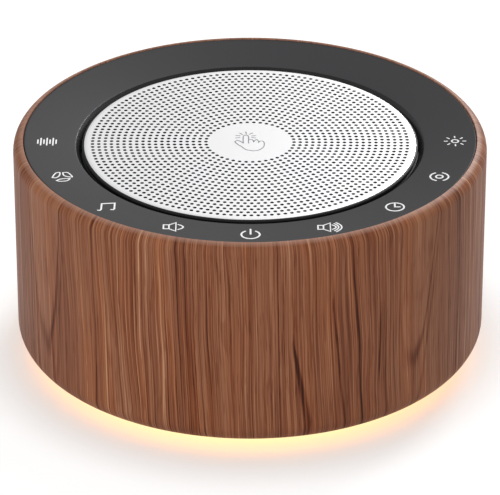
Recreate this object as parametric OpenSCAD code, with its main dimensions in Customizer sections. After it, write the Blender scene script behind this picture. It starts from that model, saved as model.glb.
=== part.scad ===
// White noise sound machine: a low round case with a wood-grain sleeve, a dished ring of
// touch keys, a perforated metal grille over an upward-facing loudspeaker, and a light ring
// underneath. Millimetres, +Z up. The origin is the middle of the plane that the feet stand on,
// the power key is at the front (-Y) and the USB-C inlet at the back (+Y).

/* [Body] */
// Outer diameter of the sleeve
body_d = 100; // [99:0.5:104]
// Height over everything, from the feet to the sleeve's lip
body_h = 50; // [50:0.5:58]
// Height of the sleeve's lower edge above the surface that the feet stand on
floor_gap = 3.4; // [3.2:0.1:4]
// Wall thickness of the sleeve
sleeve_wall = 3; // [2.6:0.1:3.2]
// Radius of the rounded top edge
top_round = 2.6; // [2.3:0.1:3]
// Radius of the rounded bottom edge
bottom_round = 4.4; // [3.6:0.1:4.6]

/* [Touch ring] */
// Number of touch keys along the front of the ring
key_count = 9; // [5:2:9]
// Angle between neighbouring keys
key_step = 22; // [20:0.5:24]
// How far the dished ring falls from its outer to its inner edge
panel_dish = 1.3; // [0.8:0.1:1.5]
// Wall thickness of the ring
panel_wall = 1.5; // [1.2:0.1:1.8]

/* [Grille] */
// Diameter of the perforated disc
grille_d = 70.6; // [70:0.1:71]
// Thickness of the sheet
sheet_t = 0.6; // [0.5:0.1:0.8]
// Radial distance between the rings of holes
hole_pitch = 1.96; // [1.9:0.01:2]
// Diameter of a hole
hole_d = 0.88; // [0.6:0.01:1]
// Innermost ring of holes, counted from the centre; ring k has 6 k holes
first_ring = 5; // [4:1:8]
// Outermost ring of holes
last_ring = 17; // [12:1:17]

/* [Loudspeaker] */
// Diameter of the basket's flange
driver_d = 54; // [52:0.5:54]
// Diameter of the cone at its rim
cone_d = 36.6; // [35:0.2:37]
// Diameter of the pole piece inside the voice coil
pole_d = 12.2; // [11.8:0.1:12.4]
// Diameter of the ring magnet
magnet_d = 31.6; // [30:0.2:33]
// Thickness of the ring magnet
magnet_t = 7; // [6:0.5:8]

/* [Light ring] */
// Number of lamps that face the floor
led_count = 16; // [8:1:20]
// Inner diameter of the diffuser
diffuser_in_d = 74.4; // [74:0.1:76]

/* [Fasteners and feet] */
// Radius of the circle that the long base screws and the frame's posts stand on
post_circle_r = 31; // [30.5:0.1:31.2]
// Diameter of a rubber foot
foot_d = 12; // [10:0.5:13]
// Radius of the circle of feet
foot_circle_r = 27; // [24:0.5:28]

/* [Hidden] */

turn_fn = 180;      // any value above 12 is a true circle
eps = 0.01;         // overlap of pieces that are fused or cut
over = 1;           // how far a cutter or a blank reaches past the face that it makes
slip = 0.15;        // gap round a part that drops into another
post_angles = [45, 135, 225, 315];
side_angles = [0, 90, 180, 270];

// Sleeve
body_r = body_d / 2;
sleeve_in_r = body_r - sleeve_wall;
lip_r = body_r - 2.2;
// The top round is placed so that it meets the lip exactly at body_h
round_z = body_h - sqrt(pow(top_round, 2) - pow(lip_r - body_r + top_round, 2));
panel_seat_z = body_h - 2.5;
rebate_r = body_r - 4.8;
foot_flange_r = body_r - 6.4;
foot_flange_z = floor_gap + 1.8;
foot_flange_t = 1.8;
rib_count = 8;
rib_w = 1.2;
rib_h = 26;
rib_depth = 0.35;

// Touch ring; the skirt is the outer foot of its section, the fence the inner one
panel_r = lip_r - slip;
panel_edge = 0.15;
skirt_in_r = sleeve_in_r - 1;
fence_t = 0.4;
web_r = sleeve_in_r - 1.4;
pocket_r = 2.6;
pocket_t = 0.5;
panel_out_z = body_h - 0.25;
panel_in_r = grille_d / 2 + 1.6;
panel_in_z = panel_out_z - panel_dish;
bevel_r = grille_d / 2 + 0.45;
bevel_drop = 1.15;
bevel_foot_z = body_h - 3.3;
key_r = 42;
panel_screw_r = 41.8;
panel_screw_angles = [-90 - 1.5 * key_step, -90 + 1.5 * key_step, 45, 135];
panel_boss_r = 2.4;
panel_screw_depth = 4.6;
small_screw_r = 1;
small_clear_r = 1.3;
small_head_r = 2.2;
small_head_t = 1.4;

// Grille
grille_r = grille_d / 2;
grille_z = body_h - 1.7;
carrier_in_r = grille_r - 0.6;
grille_rim_z = body_h - 3.1;
tab_w = 3.6;
tab_z = body_h - 5.6;
tab_slot_gap = 0.3;
mesh_t = 0.3;

// Inner frame: a stepped deck on four posts
deck_z = body_h - 6.6;
deck_t = 1.6;
deck_hole_r = 21.6;
trough_z = body_h - 9.4;
trough_t = 1.4;
trough_top_z = trough_z + trough_t;
board_rest_z = trough_top_z + 0.6;
frame_r = sleeve_in_r - 0.5;
frame_rim_t = 1.2;
frame_rim_h = 5.2;
board_ledge = 0.4;
seat_ring_r = 33.9;
seat_ring_t = 0.5;
deck_chamfer = 0.8;
web_t = 1.2;
web_drop = 10;
web_out_r = 38.6;
post_r = 3.6;
speaker_screw_r = 24.4;
speaker_boss_r = 2.4;
speaker_boss_h = 1.4;
ribbon_angle = 160;
ribbon_r = 40.5;
ribbon_w = 8;
ribbon_t = 0.3;
ribbon_slot = [1.6, 9];
ribbon_bend_r = 4;
ribbon_low_z = 13;
ribbon_end_r = 31.8;

// Boards
board_t = 1.2;
touch_board_t = 1;
touch_board_z = board_rest_z;
main_board_r = 34.6;
main_board_z = floor_gap + 5.6;
board_top_z = main_board_z + board_t;

// Leaf that senses a tap on the disc: its section as [radius, height] along the +X tab
leaf_t = 0.2;
leaf_w = 2.4;
leaf_foot_r = [37.4, 40];
leaf_tip_z = [45.4, 46.2];
leaf_fold = 0.2;

// Touch springs
spring_r = 2;
spring_wire_r = 0.25;
spring_turns = 3;
spring_steps = 8;
spring_sides = 6;

// Loudspeaker, downwards from the top of its flange
flange_top = deck_z - 0.6;
flange_t = 1.2;
driver_r = driver_d / 2;
cone_r = cone_d / 2;
pole_r = pole_d / 2;
magnet_r = magnet_d / 2;
plate_r = magnet_r - 1.6;
coil_gap = 0.3;
former_t = 0.15;
winding_t = 0.45;
former_in_r = pole_r + coil_gap;
former_r = former_in_r + former_t;
winding_r = former_r + winding_t;
basket_t = 1;
basket_floor_z = flange_top - 11.8;
basket_throat_r = 14.2;
basket_ledge_r = 16.6;
basket_leg_rise = 2.4;
basket_rim_gap = 2;
basket_window = [8, 14];
basket_window_r = 15.6;
terminal = [1, 9, 7];
terminal_gap = 3.2;
terminal_tag = [2.2, 1.6, 0.5];
terminal_step = 2.4;
spider_z = flange_top - 7.6;
neck_z = flange_top - 6.8;
plate_t = 2.6;
plate_z = basket_floor_z - plate_t;
magnet_z = plate_z - magnet_t;
yoke_t = 2.6;
yoke_z = magnet_z - yoke_t;
roll_r = 1.2;
paper_t = 0.35;
cone_lip = 1.4;
cone_foot = 0.8;
cap_r = 8.2;
cap_rise = 2.4;
spider_r = 16;
spider_waves = 4;
spider_wave_h = 0.45;
winding_h = 4.6;
surround_in = 0.9;
surround_out = 1.4;
rubber_t = 0.3;
yoke_edge = 0.6;

// Base and light ring
base_skin = 1.8;
base_z = floor_gap - base_skin;
base_wall_r = diffuser_in_d / 2 - 0.2;
base_flange_z = foot_flange_z + 0.2;
base_flange_t = 1.6;
base_flange_r = foot_flange_r - 0.4;
snap_r = base_wall_r + 0.6;
ring_z = floor_gap - 0.8;
ring_out_r = rebate_r - 0.2;
ring_in_r = diffuser_in_d / 2;
ring_t = 1;
led_board_t = 0.8;
led_board_z = base_flange_z - led_board_t;
led_circle_r = 40.8;
led_size = [2.8, 3.5, 0.8];
screw_r = 1.2;
screw_head_r = 2.6;
screw_head_t = 1.8;
screw_sink_r = 3;
screw_sink_z = floor_gap + 1.6;
screw_len = 14;
base_boss_r = 4.2;
base_edge = 0.4;
base_rib = [8, 1.2, 2];
clear_r = 1.6;
foot_sink = 0.6;
foot_edge = 0.6;
lead_hole = [2.4, 5.2];

// USB-C inlet, on a small board of its own on a shelf inside the sleeve
usb_shelf_z = 11.6;
usb_shelf_t = 1.4;
usb_shelf_w = 17;
usb_shelf_y = 38.2;
usb_boss_h = 2;
usb_board_z = usb_shelf_z + usb_shelf_t;
usb_board_t = 1;
usb_board = [15, 8.6];
usb_size = [8.94, 7.4, 3.26];
usb_face_y = body_r - 1.4;
usb_z = usb_board_z + usb_board_t + usb_size.z / 2;
usb_slot = [9.4, 3.7];
usb_recess = [12.6, 7];
usb_recess_y = body_r - 1.2;
usb_shell_t = 0.3;
usb_tongue_size = [6.7, 5.6, 0.7];
usb_screw_x = 5.9;
usb_screw_y = 39.8;
usb_screw_r = 0.8;
usb_head = [1.5, 0.9];
wall_cut = 4;

// Parts on the main board: size, place and turn
board_flat = 33;
chips = [[[10, 10, 1.4], [2, -6], 0], [[6, 5, 1.5], [-10, -2], 0], [[5, 4, 1.5], [-14, 12], 90],
    [[5, 4, 1.5], [14, -16], 0]];
capacitor_at = [[-20, -12], [21, 8], [12, 21]];
capacitor_r = 3.1;
capacitor_h = 7;
capacitor_foot = [6.6, 0.5, 0.5];
headers = [[[5, 6, 3], 24, 180], [[5, 7, 3], 30.2, 90], [[5, 6, 3], 31.2, 12],
    [[5, 10, 2.5], 29.4, 160]];

// Leads and their routes, by hand
lead_r = 0.55;
lead_step = 1.5;
speaker_lead_route = [[-24.4, 0, 35], [-25.6, 0, 33.2], [-26.4, 0, 30], [-26.6, 0, 25],
    [-26.2, 0, 20], [-25.2, 0, 17], [-24.2, 0, 15.2], [-24, 0, 14.2], [-24, 0, 13.2]];
usb_lead_route = [[0, 37.6, 15.6], [0, 36.4, 16.4], [0, 34.6, 16.6], [0, 32.6, 16],
    [0, 31, 15.2], [0, 30.4, 14.2], [0, 30.4, 13.2]];
led_lead_route = [[39.5, 0, 5.4], [39.5, 0, 8.6], [39, 0, 11], [37.6, 0, 13.4], [35.4, 0, 14.8],
    [33, 0, 15], [31.9, 0, 14.7], [31.4, 0, 14.1], [31.4, 0, 13.2]];
led_lead_angle = 12;

// ---------------------------------------------------------------- helpers

module revolve(points) {
    rotate_extrude($fn = turn_fn) polygon(points);
}

module ring(r_in, r_out, z, t) {
    translate([0, 0, z]) linear_extrude(t) difference() {
        circle(r = r_out, $fn = turn_fn);
        circle(r = r_in, $fn = turn_fn);
    }
}

module rod(r, z, h) {
    translate([0, 0, z]) cylinder(r = r, h = h, $fn = 48);
}

module place(angles, r) {
    for (a = angles) rotate(a) translate([r, 0, 0]) children();
}

// Takes the sharp corner at `at` off a profile; `into` points from it into the material
module round_off(at, r, into) {
    difference() {
        translate([at.x - (into.x < 0 ? r : 1), at.y - (into.y < 0 ? r : 1)]) square(r + 1);
        translate(at + r * into) circle(r = r, $fn = turn_fn);
    }
}

// A flat bar with round edges, w wide and h high, that runs from y towards +Y
module stadium_bar(w, h, y, len, z) {
    translate([0, y, z]) rotate([-90, 0, 0]) linear_extrude(len) {
        square([w - h, h], center = true);
        for (side = [-1, 1]) translate([side * (w - h) / 2, 0]) circle(d = h, $fn = 48);
    }
}

// A round tube swept along a route of points
module tube(route, r, sides = 8) {
    last = len(route) - 1;
    rings = [for (i = [0 : last])
        let (
            ahead = route[min(i + 1, last)] - route[max(i - 1, 0)],
            along = ahead / norm(ahead),
            side = cross(along, abs(along.x) < 0.9 ? [1, 0, 0] : [0, 1, 0]),
            u = side / norm(side),
            v = cross(along, u)
        )
        for (k = [0 : sides - 1])
            route[i] + r * (cos(360 * k / sides) * u + sin(360 * k / sides) * v)];
    walls = [for (i = [0 : last - 1]) for (k = [0 : sides - 1])
        let (a = i * sides + k, b = i * sides + (k + 1) % sides)
        each [[a, a + sides, b], [b, a + sides, b + sides]]];
    ends = [[for (k = [0 : sides - 1]) k], [for (k = [sides - 1 : -1 : 0]) last * sides + k]];
    polyhedron(rings, concat(walls, ends));
}

// A screw that points up, its head's underside at z
module screw(r, len, head_r, head_t, z) {
    difference() {
        union() {
            rod(head_r, z - head_t, head_t);
            rod(r, z - eps, len + eps);
        }
        translate([0, 0, z - head_t]) linear_extrude(head_t, center = true)
            for (turn = [0, 90]) rotate(turn) square([head_r * 1.3, head_r * 0.3], center = true);
    }
}

function arc(centre, r, from, to, steps) =
    [for (i = [0 : steps]) let (a = from + (to - from) * i / steps)
        centre + r * [cos(a), sin(a)]];

// Height of the touch ring's top face, and of its underside, at radius r
function panel_z(r) = panel_in_z + panel_dish * (r - panel_in_r) / (panel_r - panel_in_r);
function panel_under_z(r) = panel_z(r) - panel_wall;

function key_angles() = [for (i = [0 : key_count - 1]) -90 + (i - (key_count - 1) / 2) * key_step];

// ---------------------------------------------------------------- case

// One moulded tube: a round top edge that ends in a thin lip, a seat inside it for the touch
// ring, a rounded foot with an inward flange, ribs that centre the frame, and the inlet's shelf
module wood_grain_sleeve() color("#84573c") {
    difference() {
        union() {
            rotate_extrude($fn = turn_fn) sleeve_profile();
            for (i = [0 : rib_count - 1]) rotate(360 / rib_count * (i + 0.5)) sleeve_rib();
            usb_shelf();
        }
        stadium_bar(usb_slot.x, usb_slot.y, sleeve_in_r - wall_cut, 2 * wall_cut, usb_z);
        stadium_bar(usb_recess.x, usb_recess.y, usb_recess_y, wall_cut, usb_z);
        for (side = [-1, 1]) translate([side * usb_screw_x, usb_screw_y, 0])
            rod(usb_screw_r, usb_shelf_z - usb_boss_h + 0.5, usb_shelf_t + usb_boss_h);
    }
}

module sleeve_profile() {
    difference() {
        union() {
            translate([sleeve_in_r, floor_gap]) square([sleeve_wall, body_h + over - floor_gap]);
            translate([rebate_r, floor_gap])
                square([body_r - rebate_r, foot_flange_z + foot_flange_t - floor_gap]);
            translate([foot_flange_r, foot_flange_z])
                square([sleeve_in_r - foot_flange_r + eps, foot_flange_t]);
        }
        round_off([body_r, floor_gap], bottom_round, [-1, 1]);
        translate([body_r - top_round, round_z]) difference() {
            square(top_round + 2 * over);
            circle(r = top_round, $fn = turn_fn);
        }
        translate([0, panel_seat_z]) square([lip_r, body_h]);
    }
}

module sleeve_rib() {
    translate([sleeve_in_r - rib_depth, -rib_w / 2, trough_z - rib_h])
        cube([rib_depth + sleeve_wall / 2, rib_w, rib_h]);
}

module usb_shelf() {
    intersection() {
        rod(sleeve_in_r + over, usb_shelf_z - usb_boss_h, usb_boss_h + usb_shelf_t);
        union() {
            translate([-usb_shelf_w / 2, usb_shelf_y, usb_shelf_z])
                cube([usb_shelf_w, body_r - usb_shelf_y, usb_shelf_t]);
            for (side = [-1, 1]) translate([side * usb_screw_x, usb_screw_y, 0])
                rod(usb_screw_r + 1, usb_shelf_z - usb_boss_h, usb_boss_h + eps);
        }
    }
}

// Dished ring with a bevelled inner edge, a skirt that stands on the sleeve's seat, a shallow
// pocket for the spring under each key and four bosses that the panel screws pull down
module touch_panel() color("#333437") {
    bevel_z = panel_in_z - bevel_drop;
    boss_z = panel_under_z(panel_screw_r) + panel_wall / 2;
    difference() {
        union() {
            revolve([
                [panel_r, panel_seat_z], [panel_r, panel_out_z - panel_edge],
                [panel_r - panel_edge, panel_z(panel_r - panel_edge)],
                [panel_in_r, panel_in_z], [panel_in_r - panel_edge, panel_in_z - 0.6 * panel_edge],
                [bevel_r, bevel_z], [bevel_r, bevel_foot_z], [panel_in_r + fence_t, bevel_foot_z],
                [panel_in_r + 2 * fence_t, panel_under_z(panel_in_r + 2 * fence_t)],
                [web_r, panel_under_z(web_r)], [skirt_in_r, panel_seat_z]
            ]);
            place(panel_screw_angles, panel_screw_r)
                rod(panel_boss_r, trough_top_z, boss_z - trough_top_z);
        }
        place(panel_screw_angles, panel_screw_r)
            rod(small_screw_r, trough_top_z - over, panel_screw_depth + over);
        place(key_angles(), key_r)
            rod(pocket_r, panel_under_z(key_r) - over, over + pocket_t);
    }
}

// ---------------------------------------------------------------- grille

module hole_rings() {
    for (k = [first_ring : last_ring], i = [0 : 6 * k - 1])
        rotate(60 * i / k) translate([k * hole_pitch, 0]) circle(d = hole_d, $fn = 16);
}

// A flat perforated disc with a plain centre and a plain margin
module speaker_grille() color("#d7d9dc") {
    translate([0, 0, grille_z - sheet_t]) linear_extrude(sheet_t) difference() {
        circle(r = grille_r, $fn = turn_fn);
        hole_rings();
    }
}

// Steel ring that the disc is bonded to; its four tabs sit in slots of the frame's seat ring
module grille_carrier() color("#8f9398") {
    ring(carrier_in_r, grille_r, grille_rim_z, grille_z - sheet_t - grille_rim_z);
    for (a = side_angles) rotate(a) intersection() {
        ring(carrier_in_r, grille_r, tab_z, grille_z - sheet_t - tab_z);
        translate([0, -tab_w / 2, 0]) cube([body_r, tab_w, body_h]);
    }
}

module dust_mesh() color("#17181a") {
    rod(carrier_in_r - 0.3, grille_z - sheet_t - mesh_t, mesh_t);
}

// ---------------------------------------------------------------- frame

// The deck carries the loudspeaker below and the grille above; a trough round it carries the
// touch board, and four posts clamp the main board onto the base
module inner_frame() color("#3c3f44") {
    difference() {
        union() {
            revolve([
                [deck_hole_r, deck_z], [seat_ring_r + seat_ring_t, deck_z],
                [seat_ring_r + seat_ring_t, trough_z], [frame_r, trough_z],
                [frame_r, trough_z + frame_rim_h], [frame_r - frame_rim_t, trough_z + frame_rim_h],
                [frame_r - frame_rim_t, board_rest_z],
                [frame_r - frame_rim_t - board_ledge, board_rest_z],
                [frame_r - frame_rim_t - board_ledge, trough_top_z],
                [panel_in_r + 1.3, trough_top_z], [panel_in_r + 1.3, board_rest_z],
                [grille_r + 2 * board_ledge - 0.2, board_rest_z], [grille_r + 0.3, grille_rim_z],
                [seat_ring_r, grille_rim_z], [seat_ring_r, deck_z + deck_t],
                [deck_hole_r + deck_chamfer, deck_z + deck_t], [deck_hole_r, deck_z + deck_chamfer]
            ]);
            place(post_angles, post_circle_r)
                rod(post_r, board_top_z, deck_z + deck_t / 2 - board_top_z);
            place(post_angles, speaker_screw_r)
                rod(speaker_boss_r, deck_z, deck_t + speaker_boss_h);
            for (a = post_angles) rotate(a) post_web();
        }
        place(post_angles, post_circle_r) rod(screw_r, board_top_z - over, screw_len);
        place(post_angles, speaker_screw_r)
            rod(small_screw_r, deck_z - over, over + deck_t + speaker_boss_h - 0.5);
        place(panel_screw_angles, panel_screw_r)
            rod(small_clear_r, trough_z - over, trough_t + 2 * over);
        for (a = side_angles) rotate(a)
            translate([carrier_in_r - tab_slot_gap, -tab_w / 2 - tab_slot_gap, tab_z - 0.2])
                cube([2, tab_w + 2 * tab_slot_gap, body_h]);
        rotate(ribbon_angle)
            translate([ribbon_r - ribbon_slot.x / 2, -ribbon_slot.y / 2, trough_z - over])
                cube([ribbon_slot.x, ribbon_slot.y, trough_t + 2 * over]);
    }
}

// Gusset that stiffens a post against the trough's inner wall
module post_web() {
    x = post_circle_r + post_r - 0.6;
    rotate([90, 0, 0]) translate([0, 0, -web_t / 2]) linear_extrude(web_t)
        polygon([[x, trough_z + eps], [x, trough_z - web_drop], [web_out_r, trough_z + eps]]);
}

module panel_screws() color("#9fa3a8") {
    place(panel_screw_angles, panel_screw_r)
        screw(small_screw_r, 5, small_head_r, small_head_t, trough_z);
}

// ---------------------------------------------------------------- touch sensing

module touch_board() color("#1f5a3a") {
    difference() {
        ring(grille_r + 1, frame_r - 1.4, touch_board_z, touch_board_t);
        place(panel_screw_angles, panel_screw_r)
            rod(panel_boss_r + 0.3, touch_board_z - over, touch_board_t + 2 * over);
    }
}

// One sprung electrode under each key, from the board to just below the ring
module touch_springs() color("#c9b27a") {
    low = touch_board_z + touch_board_t + spring_wire_r;
    high = panel_under_z(key_r) + pocket_t - 0.05 - spring_wire_r;
    steps = spring_turns * spring_steps;
    place(key_angles(), key_r) tube([for (i = [0 : steps])
        let (a = 360 * i / spring_steps)
        [spring_r * cos(a), spring_r * sin(a), low + (high - low) * i / steps]],
        spring_wire_r, spring_sides);
}

// A leaf from the touch board that presses on the grille's rear tab, so that the whole disc
// senses a tap
module tap_contact() color("#c79a52") {
    foot_z = touch_board_z + touch_board_t;
    inner = [[leaf_foot_r[0], foot_z], [grille_r, leaf_tip_z[0]], [grille_r, leaf_tip_z[1]]];
    outer = [[grille_r + leaf_t, leaf_tip_z[1]], [grille_r + leaf_t, leaf_tip_z[0] + leaf_fold],
        [leaf_foot_r[0] + leaf_fold, foot_z + leaf_t], [leaf_foot_r[1], foot_z + leaf_t],
        [leaf_foot_r[1], foot_z]];
    rotate([90, 0, 90]) translate([0, 0, -leaf_w / 2]) linear_extrude(leaf_w)
        polygon(concat(inner, outer));
}

module touch_ribbon() color("#d8d3c4") {
    half = ribbon_t / 2;
    bend = [ribbon_r - ribbon_bend_r, ribbon_low_z + ribbon_bend_r];
    rotate(ribbon_angle) rotate([90, 0, 0]) translate([0, 0, -ribbon_w / 2])
        linear_extrude(ribbon_w) polygon(concat(
            [[ribbon_r + half, touch_board_z]], arc(bend, ribbon_bend_r + half, 0, -90, 6),
            [[ribbon_end_r, ribbon_low_z - half], [ribbon_end_r, ribbon_low_z + half]],
            arc(bend, ribbon_bend_r - half, -90, 0, 6), [[ribbon_r - half, touch_board_z]]));
}

// ---------------------------------------------------------------- loudspeaker

module speaker_gasket() color("#232323") {
    difference() {
        ring(deck_hole_r + 1.2, driver_r - 0.2, flange_top, deck_z - flange_top);
        place(post_angles, speaker_screw_r)
            rod(small_clear_r + 0.2, flange_top - over, deck_z - flange_top + 2 * over);
    }
}

// Pressed steel basket: flange, a cone of four legs, a ledge for the spider and a floor that
// the magnet's top plate is riveted to
module speaker_basket() color("#4a4d52") {
    floor_z = basket_floor_z;
    bore_r = winding_r + 0.7;
    difference() {
        revolve([
            [driver_r, flange_top], [driver_r, flange_top - flange_t],
            [cone_r + basket_rim_gap + 1.1, flange_top - flange_t],
            [cone_r + basket_rim_gap + 0.6, spider_z + basket_leg_rise - 0.6],
            [basket_ledge_r + 0.4, spider_z - basket_t],
            [basket_throat_r + basket_t, spider_z - basket_t],
            [basket_throat_r + basket_t, floor_z], [bore_r, floor_z], [bore_r, floor_z + basket_t],
            [basket_throat_r, floor_z + basket_t], [basket_throat_r, spider_z],
            [basket_ledge_r, spider_z], [cone_r + basket_rim_gap - 0.4, spider_z + basket_leg_rise],
            [cone_r + basket_rim_gap, flange_top]
        ]);
        for (a = post_angles) rotate(a)
            translate([basket_window_r, -basket_window.y / 2, spider_z + 0.6])
                cube([basket_window.x, basket_window.y,
                    flange_top - flange_t - spider_z - 1.2]);
        place(post_angles, speaker_screw_r)
            rod(small_clear_r + 0.2, flange_top - flange_t - over, flange_t + 2 * over);
    }
}

module speaker_terminal() color("#8a5a33") {
    plate_x = -cone_r - terminal_gap - terminal.x;
    translate([plate_x, -terminal.y / 2, flange_top - flange_t - terminal.z])
        cube(terminal);
    for (side = [-1, 1])
        translate([plate_x - terminal_tag.x + eps, side * terminal_step - terminal_tag.y / 2,
            flange_top - 6.6])
            cube(terminal_tag);
}

// Paper cone with a flat rim under the surround and a short neck round the voice coil
module speaker_cone() color("#2a2a2c") {
    revolve([
        [former_r, neck_z], [former_r + paper_t, neck_z],
        [cone_r - cone_lip + 0.2, flange_top - paper_t], [cone_r, flange_top - paper_t],
        [cone_r, flange_top], [cone_r - cone_lip, flange_top],
        [former_r + 0.3, neck_z + cone_foot], [former_r, neck_z + cone_foot]
    ]);
}

// Spherical cap glued to the cone's face
module dust_cap() color("#1d1d1f") {
    dome_r = (cap_r * cap_r + cap_rise * cap_rise) / (2 * cap_rise);
    half = asin(cap_r / dome_r);
    inner_r = (dome_r - paper_t) * sin(half);
    foot_z = cone_face_z(inner_r) + paper_t * cos(half);
    centre = [0, foot_z - dome_r * cos(half)];
    revolve(concat(arc(centre, dome_r, 90, 90 - half, 10),
        arc(centre, dome_r - paper_t, 90 - half, 90, 10)));
}

// Height of the cone's upper face at radius r
function cone_face_z(r) = neck_z + cone_foot
    + (flange_top - neck_z - cone_foot) * (r - former_r - 0.3) / (cone_r - cone_lip - 0.3 - former_r);

// Former and winding, centred on the top plate at rest
module voice_coil() color("#b4653a") {
    winding_z = plate_z + (plate_t - winding_h) / 2;
    revolve([
        [former_in_r, winding_z - 0.8], [former_r, winding_z - 0.8], [former_r, winding_z],
        [winding_r, winding_z], [winding_r, winding_z + winding_h],
        [former_r, winding_z + winding_h], [former_r, neck_z + cone_foot],
        [former_in_r, neck_z + cone_foot]
    ]);
}

// Half-roll rubber edge between the cone's rim and the basket's flange
module surround() color("#1b1b1c") {
    in_r = cone_r + 0.1;
    out_r = in_r + 2 * roll_r + surround_out;
    mid = [in_r + roll_r, flange_top];
    revolve(concat(
        [[in_r - surround_in, flange_top], [in_r - surround_in, flange_top + rubber_t]],
        arc(mid, roll_r, 165, 15, 12),
        [[out_r, flange_top + rubber_t], [out_r, flange_top]],
        arc(mid, roll_r - rubber_t, 0, 180, 12)));
}

// Corrugated disc that centres the coil, flat where it is glued to the coil and the basket
module spider() color("#c8a85a") {
    steps = 36;
    radii = [for (i = [0 : steps]) former_r + (spider_r - former_r) * i / steps];
    revolve(concat([for (r = radii) [r, wave_z(r) + rubber_t]],
        [for (i = [steps : -1 : 0]) [radii[i], wave_z(radii[i])]]));
}

function wave_z(r) =
    let (start = former_r + 0.6, end = spider_r - 2.1)
    spider_z + (r < start || r > end ? 0
        : spider_wave_h * sin(360 * spider_waves * (r - start) / (end - start)));

module top_plate() color("#a8adb3") {
    ring(winding_r + coil_gap, plate_r, plate_z, plate_t);
}

module ring_magnet() color("#3a3a3d") {
    ring(winding_r + 2, magnet_r, magnet_z, magnet_t);
}

module yoke() color("#9aa0a6") {
    pole_top = plate_z + plate_t + 0.2;
    revolve([
        [0, yoke_z], [plate_r - yoke_edge, yoke_z], [plate_r, yoke_z + yoke_edge],
        [plate_r, magnet_z], [pole_r, magnet_z], [pole_r, pole_top - 0.4],
        [pole_r - 0.4, pole_top], [0, pole_top]
    ]);
}

module speaker_screws() color("#9fa3a8") {
    place(post_angles, speaker_screw_r)
        screw(small_screw_r, 4, small_head_r, small_head_t, flange_top - flange_t);
}

// ---------------------------------------------------------------- electronics

// Round board with two flats, held between the base's bosses and the frame's posts
module main_board() color("#1c5f3d") {
    difference() {
        intersection() {
            rod(main_board_r, main_board_z, board_t);
            translate([-body_r, -board_flat, 0]) cube([body_d, 2 * board_flat, body_h]);
        }
        place(post_angles, post_circle_r) rod(clear_r, main_board_z - over, board_t + 2 * over);
    }
}

// A block that stands on the board
module on_board(size, at, turn) {
    translate([at.x, at.y, board_top_z + size.z / 2]) rotate(turn) cube(size, center = true);
}

// Sound processor, memory, amplifier and touch controller
module board_chips() color("#202124") {
    for (chip = chips) on_board(chip[0], chip[1], chip[2]);
}

module capacitors() color("#aab0b6") {
    for (at = capacitor_at) translate([at.x, at.y, 0]) {
        translate([0, 0, board_top_z + capacitor_foot.z]) linear_extrude(capacitor_foot.y)
            square(capacitor_foot.x, center = true);
        rod(capacitor_r, board_top_z, capacitor_h);
    }
}

// White header of each lead: loudspeaker, USB, lamps, and the flat one of the touch ribbon
module board_connectors() color("#e6e4dc") {
    for (header = headers) rotate(header[2]) on_board(header[0], [header[1], 0], 0);
}

// ---------------------------------------------------------------- USB-C inlet

module usb_board() color("#1f6b45") {
    difference() {
        translate([-usb_board.x / 2, usb_shelf_y - 0.8, usb_board_z])
            cube([usb_board.x, usb_board.y, usb_board_t]);
        for (side = [-1, 1]) translate([side * usb_screw_x, usb_screw_y, 0])
            rod(usb_screw_r + 0.2, usb_board_z - over, usb_board_t + 2 * over);
    }
}

module usb_socket() color("#b9bdc2") {
    difference() {
        stadium_bar(usb_size.x, usb_size.z, usb_face_y - usb_size.y, usb_size.y, usb_z);
        stadium_bar(usb_size.x - 2 * usb_shell_t, usb_size.z - 2 * usb_shell_t,
            usb_face_y - usb_size.y + 1, usb_size.y, usb_z);
    }
}

module usb_tongue() color("#151515") {
    t = usb_tongue_size;
    translate([-t.x / 2, usb_face_y - usb_size.y + 1, usb_z - t.z / 2]) cube(t);
}

module usb_screws() color("#9fa3a8") {
    for (side = [-1, 1]) translate([side * usb_screw_x, usb_screw_y, 0]) rotate([180, 0, 0])
        screw(usb_screw_r, 2.6, usb_head[0], usb_head[1], -usb_board_z - usb_board_t);
}

// ---------------------------------------------------------------- leads

module speaker_leads() color("#b3372f") {
    for (side = [-1, 1]) translate([0, side * lead_step, 0]) tube(speaker_lead_route, lead_r);
}

module usb_leads() color("#2a2a2a") {
    for (i = [-1.5 : 1.5]) translate([i * lead_step, 0, 0]) tube(usb_lead_route, lead_r);
}

module led_leads() color("#d9d9d9") {
    rotate(led_lead_angle) for (i = [-1 : 1]) translate([0, i * lead_step, 0])
        tube(led_lead_route, lead_r);
}

// ---------------------------------------------------------------- light ring and base

module led_board() color("#ecebe4") {
    ring(base_wall_r + 1.6, base_flange_r - 0.2, led_board_z, led_board_t);
}

module leds() color("#fff0b8") {
    for (i = [0 : led_count - 1]) rotate(360 * (i + 0.5) / led_count)
        translate([led_circle_r, 0, led_board_z - led_size.z / 2]) cube(led_size, center = true);
}

// Milky channel that is open at the top; the lamps shine down through its floor
module light_ring() color("#f6ecd2") {
    revolve([
        [ring_in_r, ring_z], [ring_out_r - 0.4, ring_z], [ring_out_r, ring_z + 0.4],
        [ring_out_r, foot_flange_z], [ring_out_r - 1, foot_flange_z],
        [ring_out_r - 1, ring_z + ring_t], [ring_in_r + 1, ring_z + ring_t],
        [ring_in_r + 1, base_flange_z], [ring_in_r, base_flange_z]
    ]);
}

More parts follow.
